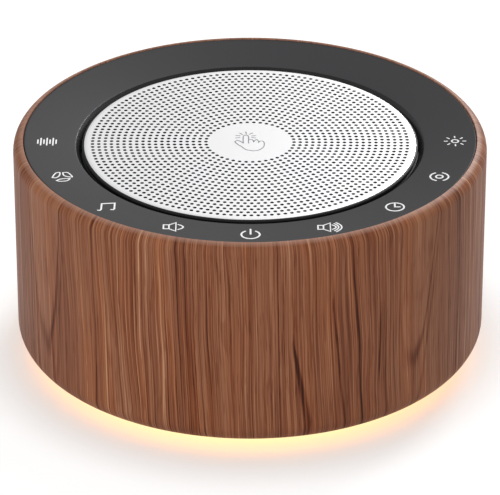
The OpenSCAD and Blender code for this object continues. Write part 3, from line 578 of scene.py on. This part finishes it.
sleeve = {
    "wall": 3.0, "topRound": 2.6, "topSteps": 12, "bottomRound": 4.4, "bottomSteps": 14,
    "lip": 2.2, "lipEdge": 0.35,
    "lipShort": 3.0,    # degrees by which the top's arc stops short of the lip's fillet
    "seatDrop": 2.5, "rebate": 4.8, "flange": 6.4, "flangeRise": 1.8, "flangeThick": 1.8,
    "edge": 0.3, "innerEdge": 0.1, "footEdge": 0.15, "turns": 288,
    "ribs": 8, "ribWidth": 1.2, "ribDepth": 0.35, "ribLow": 14.6, "ribHigh": 40.6,
    "shelf": (17.0, 38.2, 11.6, 1.4),   # width, front edge, height and thickness
    "slot": (9.4, 3.7), "recess": (12.6, 7.0), "recessDepth": 1.2,
    "overlap": 1.0,     # how far ribs and shelf run into the wall
    "cutReach": 4.0,    # how far the inlet's cutters stand clear of the wall
}


# The sleeve's section is an arc at the foot, the straight wall, an arc at the top and the inside's
# steps; ribs and the inlet's shelf are joined to it, and the inlet is cut through it
def makeSleeve():
    s, r, low, high = sleeve, sleeveHigh.x, sleeveLow.z, sleeveHigh.z
    topCentre = (r - s["topRound"], high - math.sqrt(
        s["topRound"] ** 2 - (s["topRound"] - s["lip"]) ** 2))
    lipAngle = math.degrees(math.acos((s["topRound"] - s["lip"]) / s["topRound"]))
    flangeZ = low + s["flangeRise"]
    outline = np.concatenate([
        arcPoints((r - s["bottomRound"], low + s["bottomRound"]), s["bottomRound"], -90, 0,
                  s["bottomSteps"]),
        arcPoints(topCentre, s["topRound"], 0, lipAngle - s["lipShort"], s["topSteps"]),
        rounded([
            (r - s["lip"], high, s["lipEdge"]), (r - s["lip"], high - s["seatDrop"], 0),
            (r - s["wall"], high - s["seatDrop"], s["innerEdge"]),
            (r - s["wall"], flangeZ + s["flangeThick"], 0),
            (r - s["flange"], flangeZ + s["flangeThick"], s["edge"]),
            (r - s["flange"], flangeZ, s["innerEdge"]),
            (r - s["rebate"], flangeZ, 0), (r - s["rebate"], low, s["footEdge"])])])
    material = woodFilmMaterial(r)
    piece = revolved("wood_sleeve_shell", outline, material, s["turns"])
    inside = r - s["wall"]
    rooted, step = inside + s["overlap"], 360 / s["ribs"]
    added = [boxPiece(f"rib{k}", (inside - s["ribDepth"], -s["ribWidth"] / 2, s["ribLow"]),
                      (rooted, s["ribWidth"] / 2, s["ribHigh"]), step * (k + 0.5), material)
             for k in range(s["ribs"])]
    width, front, z, thick = s["shelf"]
    added.append(boxPiece("shelf", (-width / 2, front, z), (width / 2, rooted, z + thick), 0, material))
    combine(piece, added, "UNION")
    inletZ, behind = (socketLow.z + socketHigh.z) / 2, r + s["cutReach"]
    combine(piece, [stadiumBar("slot", *s["slot"], inside - s["cutReach"], behind, inletZ, material),
                    stadiumBar("recess", *s["recess"], r - s["recessDepth"], behind, inletZ, material)],
            "DIFFERENCE")
    piece.data.shade_smooth()
    piece.data.set_sharp_from_angle(angle=math.radians(30))
    joinHousing(piece, "wood_grain_sleeve")


makeSleeve()
print("sleeve made")

panel = {
    "innerRadius": grilleHigh.x + 1.5, "dish": 1.54, "wall": 1.5,
    "bevelRadius": grilleHigh.x + 0.42, "bevelDrop": 1.35,
    # Rows of points that keep the top and the bevel flat up to their edges: from each edge of the
    # top, and as shares of the bevel
    "flatFrom": 0.4, "bevelRows": (0.25, 0.75),
    "footZ": 46.7, "footWidth": 0.4, "footTaper": 0.8, "footEdge": 0.1,
    "seatInner": 46.0, "underOuter": 45.6, "outerEdge": 0.08, "edge": 0.04,
    "turns": 288, "colour": "#202023", "roughness": 0.42, "sheen": 0.34,
    "grain": (0.12, 0.003, 0.02),   # width, depth and variation
    # The bevel's darker colour is painted shade in the groove round the disc
    "bevelShadeColour": "#171719", "bevelFinish": (0.28, 0.2, 0.0005),   # roughness, then width and depth
}


# Height of the ring's top: a straight cone from its inner to its outer edge
def panelZ(r):
    p = panel
    return panelHigh.z - p["dish"] * (panelHigh.x - r) / (panelHigh.x - p["innerRadius"])


# The bevel is a glossy black, painted shade for the groove round the disc, and the rest is satin charcoal
def makePanel():
    p, outer = panel, panelHigh.x
    inner, innerZ, seatZ = p["innerRadius"], panelZ(p["innerRadius"]), sleeveHigh.z - sleeve["seatDrop"]
    flatOuter, flatInner, bevelR = outer - p["flatFrom"], inner + p["flatFrom"], p["bevelRadius"]
    bevelRows = [(inner + (bevelR - inner) * t, innerZ - p["bevelDrop"] * t, 0) for t in p["bevelRows"]]
    taperR = inner + p["footTaper"]
    outline = rounded([
        (outer, seatZ, 0), (outer, panelHigh.z, p["outerEdge"]), (flatOuter, panelZ(flatOuter), 0),
        (flatInner, panelZ(flatInner), 0), (inner, innerZ, p["edge"]), *bevelRows,
        (bevelR, innerZ - p["bevelDrop"], p["edge"]), (bevelR, p["footZ"], p["edge"]),
        (inner + p["footWidth"], p["footZ"], p["footEdge"]), (taperR, panelZ(taperR) - p["wall"], 0),
        (p["underOuter"], panelZ(p["underOuter"]) - p["wall"], 0), (p["seatInner"], seatZ, 0)])
    satin = moulded("satinPolycarbonateCharcoal", p["colour"], p["roughness"], *p["grain"], p["sheen"])
    piece = revolved("touch_ring_shell", outline, satin, p["turns"])
    piece.data.materials.append(
        moulded("glossBlackPaintedBevelShade", p["bevelShadeColour"], *p["bevelFinish"]))
    middles = (outline[:, 0] + np.roll(outline[:, 0], -1)) / 2
    paintedShadeBevel = (middles < inner) & (outline[:, 1] > p["footZ"] + p["edge"])
    piece.data.polygons.foreach_set("material_index", np.tile(paintedShadeBevel, p["turns"]).astype(int))
    joinHousing(piece, "touch_panel")


makePanel()
print("touch ring made")

grille = {
    "pitch": 1.33,          # between rings; ring k has 6 k holes at radius k times the pitch
    "firstRing": 7, "lastRing": 25, "hole": 0.8, "turn": -0.7,
    "perSide": 3,           # faces along each side of a hole's cell; the border is written for 3
    "strip": 0.02,          # half of the strip between two rings of cells, as a share of the pitch
    "radius": grilleHigh.x + 0.2,
    "roll": (1.1, 0.5),     # the rim rolls down over this reach and drop
    # Rows of the roll that stay silver; the rest of the roll is painted black as shade
    "rollRows": 8, "silverRows": 4,
    "backEdge": (0.2, 0.05),
    "colour": "#fdfdfe", "finish": (0.42, 0.12, 0.003), "metallic": 0.75,
}


# Faces between two circles of points: each edge of one circle meets the nearest earlier point
# of the other, so circles with different counts join without a gap
def zipped(anglesA, anglesB, firstA, firstB):
    n, m, turn = len(anglesA), len(anglesB), 2 * np.pi
    wideA, wideB = [np.concatenate([a - turn, a, a + turn]) for a in (anglesA, anglesB)]
    endA, endB = wideA[n + 1:2 * n + 1], wideB[m + 1:2 * m + 1]
    apexB = (np.searchsorted(wideB, endA - 1e-9) - 1) % m
    apexA = (np.searchsorted(wideA, endB + 1e-9) - 1) % n
    a, b = np.arange(n), np.arange(m)
    fromA = np.stack([a + firstA, apexB + firstB, (a + 1) % n + firstA], -1)
    fromB = np.stack([b + firstB, (b + 1) % m + firstB, apexA + firstA], -1)
    return np.concatenate([fromA, fromB])


# One ring of holes: 6 k cells between two circles, each with a round hole whose points are joined
# by quads to as many points of the cell's border. Points are numbered from start: the inner
# circle, the outer circle, two points on each wall between cells, and the holes' rims
def holeRing(k, start):
    g, perSide = grille, grille["perSide"]
    pitch, hole, around = g["pitch"], g["hole"] / 2, 4 * perSide
    gap = g["strip"] * pitch
    spin = math.radians(g["turn"])
    count, n = 6 * k, 6 * k * perSide
    cell = 2 * np.pi / count
    inner, outer = (k - 0.5) * pitch + gap, (k + 0.5) * pitch - gap
    edgeAngles = spin + cell * (np.arange(n) / perSide - 0.5)
    wallR = inner + (outer - inner) * np.array([1, 2]) / perSide
    wallAngles = spin + cell * (np.arange(count) - 0.5)
    r = np.concatenate([np.full(n, inner), np.full(n, outer), np.repeat(wallR, count)])
    a = np.concatenate([edgeAngles, edgeAngles, np.tile(wallAngles, 2)])
    centres = spin + cell * np.arange(count)
    holeTurn = np.radians(225 - np.arange(around) * 360 / around)
    along = np.stack([np.cos(centres), np.sin(centres)], -1)[:, None, :]
    aside = np.stack([-np.sin(centres), np.cos(centres)], -1)[:, None, :]
    outward, sideways = k * pitch + hole * np.cos(holeTurn), hole * np.sin(holeTurn)
    rims = outward[None, :, None] * along + sideways[None, :, None] * aside
    points = np.concatenate([np.stack([r * np.cos(a), r * np.sin(a)], -1), rims.reshape(-1, 2)])
    i = np.arange(count)
    nextEdge, nextCell = (perSide * i + perSide) % n, (i + 1) % count
    wall0, wall1 = 2 * n, 2 * n + count
    border = np.stack([
        perSide * i, perSide * i + 1, perSide * i + 2, nextEdge,
        wall0 + nextCell, wall1 + nextCell, n + nextEdge,
        n + perSide * i + 2, n + perSide * i + 1, n + perSide * i,
        wall1 + i, wall0 + i], -1) + start
    ring = 2 * n + 2 * count + around * i[:, None] + np.arange(around)[None, :] + start
    quads = np.stack([border, np.roll(border, -1, 1), np.roll(ring, -1, 1), ring], -1)
    return {"points": points, "quads": quads.reshape(-1, 4), "angles": edgeAngles,
            "inner": start, "outer": start + n, "holes": ring}


# The disc is two flat copies of the rings of holes, joined by the holes' walls and by a rim that
# rolls down in a quarter of an ellipse. Its face is bare metal, and its back, the foot of the rim
# and the holes' walls are painted black, a painted shade that darkens the holes and the rolled edge
def makeGrille():
    g = grille
    rings, start = [], 0
    for k in range(g["firstRing"], g["lastRing"] + 1):
        rings.append(holeRing(k, start))
        start += len(rings[-1]["points"])
    flat = np.concatenate([ring["points"] for ring in rings] + [np.zeros((1, 2))])
    count = len(flat)
    firstCircle = np.arange(len(rings[0]["angles"]))
    centre = np.stack([np.full(len(firstCircle), start), firstCircle, np.roll(firstCircle, -1)], -1)
    seams = [zipped(a["angles"], b["angles"], a["outer"], b["inner"]) for a, b in zip(rings, rings[1:])]
    tris = np.concatenate([*seams, centre])
    quads = np.concatenate([ring["quads"] for ring in rings])

    top, bottom, radius = grilleHigh.z, grilleLow.z, g["radius"]
    (reach, drop), (backIn, backUp) = g["roll"], g["backEdge"]
    steps = np.radians(np.linspace(0, 90, g["rollRows"] + 1))
    rimR = np.append(radius - reach + reach * np.sin(steps), [radius, radius - backIn])
    rimZ = np.append(top - drop + drop * np.cos(steps), [bottom + backUp, bottom])
    angles, m = rings[-1]["angles"], len(rings[-1]["angles"])
    rimPoints = np.stack([rimR[:, None] * np.cos(angles), rimR[:, None] * np.sin(angles),
                          rimZ[:, None] + 0 * angles], -1).reshape(-1, 3)
    lastTop = rings[-1]["outer"] + np.arange(m)
    rows = np.stack([lastTop] + [2 * count + m * k + np.arange(m) for k in range(len(rimR))]
                    + [lastTop + count])
    rim = rows.reshape(-1)[gridFaces(len(rows), m, False)]
    holes = np.concatenate([ring["holes"] for ring in rings])
    turned = np.roll(holes, -1, 1)
    walls = np.stack([holes + count, turned + count, turned, holes], -1).reshape(-1, 4)

    points = np.concatenate([np.column_stack([flat, np.full(count, top)]),
                             np.column_stack([flat, np.full(count, bottom)]), rimPoints])
    bright = quads[:, ::-1].tolist() + tris[:, ::-1].tolist()
    bright += rim[:g["silverRows"] * m].tolist()
    # The roll's lower rows, the back and the holes' walls take the black that paints their shade
    black = rim[g["silverRows"] * m:].tolist()
    black += (quads + count).tolist() + (tris + count).tolist() + walls.tolist()
    metal = sheetMetal("beadBlastedAnodisedAluminium", g["colour"], *g["finish"], metallic=g["metallic"])
    piece = makePiece("perforated_disc", points, bright + black, metal, 30)
    piece.data.materials.append(grainy("blackPaintedHoleShade", "#0b0b0c", 0.6, 0.2, 0.002, 0.1))
    piece.data.polygons.foreach_set("material_index", np.repeat([0, 1], [len(bright), len(black)]))
    turnFacesOut(piece)
    joinHousing(piece, "speaker_grille")
    print("disc faces", len(piece.data.polygons))


makeGrille()

ink = {
    "height": 0.035, "sink": 0.02, "colour": "#f4f4f4", "handStroke": 0.26, "handColour": "#8f9092",
    "finish": (0.55, 0.1, 0.002, 0.03),
    "mitre": 1.6,    # longest side of a bend, in half widths
}


# Smooth curve through a few points: Catmull-Rom, cut into short steps
def smoothPath(points, steps=5):
    p = np.array(points, float)
    p = np.concatenate([[2 * p[0] - p[1]], p, [2 * p[-1] - p[-2]]])
    t = np.linspace(0, 1, steps, endpoint=False)[None, :, None]
    a, b, c, d = [p[k:len(p) - 3 + k, None, :] for k in range(4)]
    curve = 0.5 * (2 * b + (c - a) * t + (2 * a - 5 * b + 4 * c - d) * t ** 2
                   + (3 * b - a - 3 * c + d) * t ** 3)
    return np.concatenate([curve.reshape(-1, 2), p[-2:-1]])


# A line of ink: at each point of the path a low arch of six points, from edge to edge, whose
# half width falls off as a circle does within half a stroke of the path's ends
def inkStroke(path, stroke, closed):
    path = np.array(path, float)
    half = stroke / 2
    if closed:
        path = path[:-1]
        ahead = np.roll(path, -1, 0) - path
        ahead /= np.hypot(*ahead.T)[:, None]
        behind = np.roll(ahead, 1, 0)
        reach = np.full(len(path), half)
    else:
        ahead = np.diff(path, axis=0)
        ahead /= np.hypot(*ahead.T)[:, None]
        cap, low = np.sin(np.radians([90, 60, 30])), np.cos(np.radians([86, 60, 30]))
        path = np.concatenate([path[0] - half * cap[:, None] * ahead[0], path,
                               path[-1] + half * cap[::-1, None] * ahead[-1]])
        reach = np.concatenate([half * low, np.full(len(path) - 6, half), half * low[::-1]])
        ahead = np.concatenate([np.repeat(ahead[:1], 3, 0), ahead, np.repeat(ahead[-1:], 4, 0)])
        behind = np.concatenate([ahead[:1], ahead[:-1]])
    middle = ahead + behind
    middle /= np.hypot(*middle.T)[:, None]
    mitre = np.minimum(1 / np.maximum((middle * ahead).sum(1), 1e-9), ink["mitre"])
    side = np.column_stack([-middle[:, 1], middle[:, 0]]) * (reach * mitre)[:, None]
    across = np.array([-1, -0.94, -0.6, 0.6, 0.94, 1])
    height = np.array([0, 0.7, 1, 1, 0.7, 0])
    plan = path[:, None, :] + across[None, :, None] * side[:, None, :]
    rise = np.repeat(height[None, :], len(path), 0)
    n, m = rise.shape
    faces = gridFaces(n, m, closed).tolist()
    if not closed:
        faces += [list(range(m)), list(range(n * m - 1, n * m - m - 1, -1))]
    return plan.reshape(-1, 2), rise.reshape(-1), faces


# Lays strokes on a surface: a point's z is the surface's height there, less the sink, plus the
# arch. On a sloping surface y is drawn so that a level row still looks level from the front
def printSymbol(name, paths, centre, surface, stroke, material):
    points, faces, start = [], [], 0
    lift = 1 / math.tan(math.radians(camera["elevation"]))
    centreZ = surface(np.hypot(*centre))
    for path in paths:
        closed = len(path) > 4 and np.allclose(path[0], path[-1])
        plan, rise, quads = inkStroke(path, stroke, closed)
        plan = plan + centre
        plan[:, 1] -= lift * (surface(np.hypot(*plan.T)) - centreZ)
        z = surface(np.hypot(*plan.T)) - ink["sink"] + (ink["height"] + ink["sink"]) * rise
        points.append(np.column_stack([plan, z]))
        faces += [[v + start for v in quad] for quad in quads]
        start += len(plan)
    piece = makePiece(name, np.concatenate(points), faces, material, 60)
    turnFacesOut(piece)
    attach(piece, "housing")


def speakerPaths(x):
    box = [(x, -0.9), (x - 1.1, -0.9), (x - 1.1, 0.9), (x, 0.9)]
    horn = [(x, -0.9), (x + 1.4, -1.95), (x + 1.4, 1.95), (x, 0.9), (x, -0.9)]
    return [box, horn]


# Keys stand on a circle, 22 degrees apart. Each symbol has its stroke, a small shift that centres
# its drawing, and its paths about its own middle, x to the right and y to the back
keys = {
    "radius": 43.1, "step": 22.0,
    "symbols": {
        "waves": (0.33, (0.27, 0.1), [
            [((i - 3) * 0.63, -h), ((i - 3) * 0.63, h)]
            for i, h in enumerate([0.85, 1.6, 0.85, 1.6, 0.85, 1.6, 0.85])]),
        "fan": (0.3, (0.5, 0.1), [smoothPath(petal, 4) for petal in (
            [(-2.05, -0.5), (-1.75, 0.8), (-1.3, 1.75), (-0.62, 1.85), (-0.7, 0.3), (-1.3, -0.55),
             (-2.05, -0.5)],
            [(0.0, 1.85), (0.9, 1.95), (1.6, 1.0), (2.0, -0.05), (1.1, 0.05), (0.25, 0.6), (0.0, 1.85)],
            [(-1.1, -1.8), (-0.3, -1.1), (1.4, -0.75), (1.5, -1.1), (0.9, -1.9), (-0.4, -2.15),
             (-1.1, -1.8)])]),
        "note": (0.36, (0.65, 0.3), [
            [(-1.7, -1.75), (-1.25, -1.78), (-1.05, -1.35), (-1.05, 1.25), (1.6, 1.64), (1.6, -0.95),
             (1.4, -1.38), (0.95, -1.35)]]),
        "quieter": (0.33, (0.75, 0.4), [
            *speakerPaths(-1.0), bend((0.85, 1.1), (2.9, -0.05), (0.85, -1.2), 12)]),
        "power": (0.4, (0.1, 0.1), [arcPoints((0, 0), 1.86, 125, 415), [(0, 0.15), (0, 2.4)]]),
        "louder": (0.33, (0.0, 0.1), [
            *speakerPaths(-1.3), *[bend((x, y), (reach, 0), (x, -y), 12) for x, y, reach in (
                (0.5, 1.0, 2.0), (0.9, 1.6, 2.65), (1.3, 2.05, 3.5))]]),
        "clock": (0.38, (-0.35, 0.0), [arcPoints((0, 0), 1.84), [(0, 1.4), (0, 0), (1.0, 0)]]),
        "target": (0.38, (-0.15, 0.0), [
            arcPoints((0, 0), 0.72), arcPoints((0, 0), 1.87, -66, 66), arcPoints((0, 0), 1.87, 114, 246)]),
        "sun": (0.34, (0.15, 0.25), [
            arcPoints((0, 0), 0.7),
            *[np.outer((1.66, 2.2), way) for way in arcPoints((0, 0), 1.0, 0, 315, 7)]]),
    },
}


# A hand that taps with one finger, drawn for the middle of the disc
def handSymbol():
    finger = smoothPath([(-1.42, -0.54), (-1.42, 2.47), (-1.2, 3.01), (-0.82, 3.23), (-0.51, 3.01),
                         (-0.3, 2.47), (-0.3, -0.54)])
    palm = smoothPath([(-1.42, -0.54), (-1.86, 0.09), (-2.3, 0.49), (-2.7, 0.67), (-3.08, 0.27),
                       (-3.15, 0.0), (-2.51, -1.26), (-1.86, -2.07), (-1.08, -3.28), (-0.57, -3.77),
                       (0.08, -4.04), (0.72, -4.18), (1.37, -4.04), (2.03, -3.64), (2.66, -2.83),
                       (2.96, -1.93), (3.02, -0.67), (2.85, 0.13), (2.6, 0.4), (2.09, 0.27),
                       (1.86, -0.22)])
    knuckles = [smoothPath([(1.86, -0.22), (1.9, 0.13), (1.63, 0.81), (1.37, 1.12), (1.12, 0.81),
                            (0.87, 0.4), (0.8, 0.0)]),
                smoothPath([(0.8, 0.0), (0.72, 0.54), (0.46, 1.03), (-0.17, 1.12), (-0.3, 1.12)])]
    rays = [[(-0.87, 4.67), (-0.78, 3.73)], [(-2.16, 4.13), (-1.61, 3.5)],
            [(0.53, 4.18), (-0.08, 3.59)], [(-2.96, 2.96), (-2.11, 2.87)],
            [(-3.0, 1.84), (-2.16, 1.98)], [(0.4, 2.83), (1.18, 2.96)], [(0.4, 2.07), (1.18, 1.84)]]
    return [finger, palm, *knuckles, *rays]


def makeSymbols():
    white = grainy("whiteScreenInk", ink["colour"], *ink["finish"])
    for place, (name, (stroke, shift, paths)) in enumerate(keys["symbols"].items()):
        angle = math.radians(-90 + (place - len(keys["symbols"]) // 2) * keys["step"])
        centre = keys["radius"] * np.array([math.cos(angle), math.sin(angle)]) + shift
        printSymbol("symbol_" + name, paths, centre, panelZ, stroke, white)
    grey = grainy("greyScreenInk", ink["handColour"], *ink["finish"])
    printSymbol("symbol_tap", handSymbol(), np.zeros(2), lambda r: grilleHigh.z + 0 * r,
                ink["handStroke"], grey)


makeSymbols()
print("symbols printed")

diffuser = {"inner": 37.2, "wall": 1.0, "outerTop": 5.2, "turns": 288}


# A channel with a low outer wall: the lamps shine down into it
def makeLightRing():
    d, outer, low, high = diffuser, ringHigh.x, ringLow.z, ringHigh.z
    outline = rounded([
        (d["inner"], low, 0.2), (outer, low, 0.5), (outer, d["outerTop"], 0.1),
        (outer - d["wall"], d["outerTop"], 0.1), (outer - d["wall"], low + d["wall"], 0.3),
        (d["inner"] + d["wall"], low + d["wall"], 0.3), (d["inner"] + d["wall"], high, 0.1),
        (d["inner"], high, 0.1)])
    piece = revolved("diffuser_ring", outline, finishes["diffuser_milky"], d["turns"])
    joinHousing(piece, "light_ring")


makeLightRing()
print("light ring made")

studio = {
    "floorSize": 6000.0, "floorColour": "#a9a9a9",
    # Share of white that the floor shows of itself, near the case and past its shadow: the lower share near
    # the case paints a shadow round it
    "paintedShadowLift": 0.40, "farLift": 0.74, "liftFrom": 44.0, "liftTo": 66.0,
    "world": 0.48,
    # Place in metres, side of the square in metres, and power in watts
    "key": ((0.70, 1.33, 0.85), 0.6, 20.5), "fill": ((-0.25, -0.70, 0.42), 0.6, 3.4),
}


def makeFloor():
    points = studio["floorSize"] * np.array([(-1, -1, 0), (1, -1, 0), (1, 1, 0), (-1, 1, 0)])
    material = bpy.data.materials.new("paperSweep")
    material.use_nodes = True
    material.node_tree.nodes.clear()
    add = partial(addNode, material.node_tree)
    rays = add("LightPath").outputs
    mirrored = add("Math", [rays["Is Glossy Ray"], rays["Is Transmission Ray"]], "MAXIMUM")
    seen = add("Math", [rays["Is Camera Ray"], mirrored], "MAXIMUM")
    local = add("TexCoord").outputs["Object"]
    radius = add("VectorMath", [local], "LENGTH")
    # Less white near the case: a painted shadow round the case, on top of its real one
    lift = add("MapRange", [radius, studio["liftFrom"] * mm, studio["liftTo"] * mm,
                            studio["paintedShadowLift"], studio["farLift"]], interpolation_type="SMOOTHSTEP")
    own = add("Math", [seen, lift], "MULTIPLY")
    paper = add("BsdfDiffuse", {"Color": linear(studio["floorColour"])})
    added = add("Emission", {"Color": (1, 1, 1, 1), "Strength": own})
    add("OutputMaterial", [add("AddShader", [paper, added])])
    makePiece("floor", points, [(0, 1, 2, 3)], material)


def makeLights():
    world = bpy.data.worlds.new("studio")
    bpy.context.scene.world = world
    world.use_nodes = True
    feed(world.node_tree.nodes["Background"], {"Color": (1, 1, 1, 1), "Strength": studio["world"]})
    for name in ("key", "fill"):
        place, size, power = studio[name]
        data = bpy.data.lights.new(name, "AREA")
        data.shape, data.size, data.energy = "SQUARE", size, power
        lamp = addObject(name, data)
        lamp.location = place
        lamp.rotation_euler = Vector(place).to_track_quat("Z", "Y").to_euler()
        lamp.visible_glossy = name == "key"    # the fill leaves no highlight on the disc from behind


makeFloor()
makeLights()
bpy.context.scene.view_settings.view_transform = "Standard"
print("stage made")
